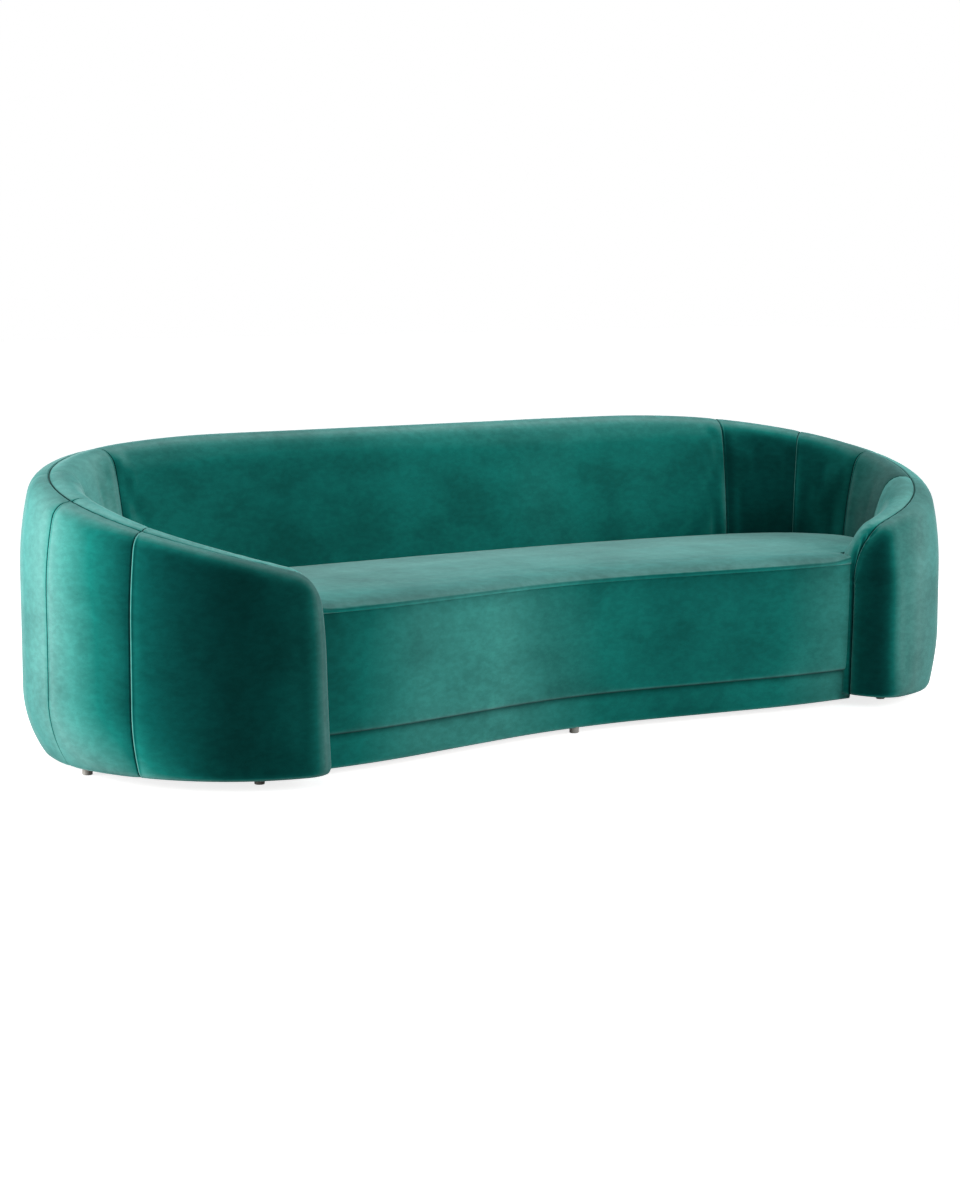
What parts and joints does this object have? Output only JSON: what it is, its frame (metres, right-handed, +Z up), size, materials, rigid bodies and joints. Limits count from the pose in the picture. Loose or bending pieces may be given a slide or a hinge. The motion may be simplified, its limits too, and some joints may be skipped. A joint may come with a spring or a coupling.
{
  "type": "curved sofa",
  "caption": "Low curved sofa with a tight seat and back, a rim that slopes down over wrap-round arms, an S-shaped seat front and a recessed plinth on small glides.",
  "frame": {"origin": "centre of the footprint, on the floor under the glides", "axes": "+X along the sofa towards its left-hand arm as seen from behind, -Y out of the front of the seat, +Z up"},
  "size_m": [2.718, 0.9475, 0.7444],
  "materials": {
    "velvet": "short pile velvet, teal green",
    "foam": "open cell cushion foam",
    "felt": "needled felt",
    "fibre_board": "bent fibre board",
    "steel": "spring wire and zinc plate",
    "webbing": "elastic webbing",
    "dust_cloth": "non-woven cloth",
    "glide_plastic": "matt",
    "timber": "plain plywood and sawn timber"
  },
  "bodies": {
    "root": {"back_straps": "webbing", "base_cross_rails": "timber", "base_rail_back": "timber", "base_rails_arms": "timber", "board_apron": "fibre_board", "board_back": "fibre_board", "board_left": "fibre_board", "board_plinth": "timber", "board_right": "fibre_board", "corner_blocks": "timber", "cover_apron": "velvet", "cover_inside_arm_left": "velvet", "cover_inside_arm_right": "velvet", "cover_inside_back": "velvet", "cover_inside_corner_left": "velvet", "cover_inside_corner_right": "velvet", "cover_inside_end_left": "velvet", "cover_inside_end_right": "velvet", "cover_inside_front_left": "velvet", "cover_inside_front_right": "velvet", "cover_outside_arm_left": "velvet", "cover_outside_arm_right": "velvet", "cover_outside_back": "velvet", "cover_outside_corner_left": "velvet", "cover_outside_corner_right": "velvet", "cover_outside_end_left": "velvet", "cover_outside_end_right": "velvet", "cover_outside_front_left": "velvet", "cover_outside_front_right": "velvet", "cover_plinth": "velvet", "cover_seat": "velvet", "dust_cover": "dust_cloth", "felt_seat": "felt", "foam_apron": "foam", "foam_arm_left": "foam", "foam_arm_right": "foam", "foam_back": "foam", "foam_corner_left": "foam", "foam_corner_right": "foam", "foam_seat": "foam", "frame_screws": "steel", "glide_screws": "steel", "glides": "glide_plastic", "liner_left": "fibre_board", "liner_right": "fibre_board", "nose_posts": "timber", "padding_back": "foam", "padding_left": "foam", "padding_right": "foam", "posts": "timber", "ribs": "timber", "seat_back_rail": "timber", "seat_cross_rails": "timber", "seat_front_rail": "timber", "seat_side_rails": "timber", "seat_springs": "steel", "spring_clips": "steel", "top_rail_back": "timber", "top_rails_arms": "timber"}
  },
  "joints": []
}
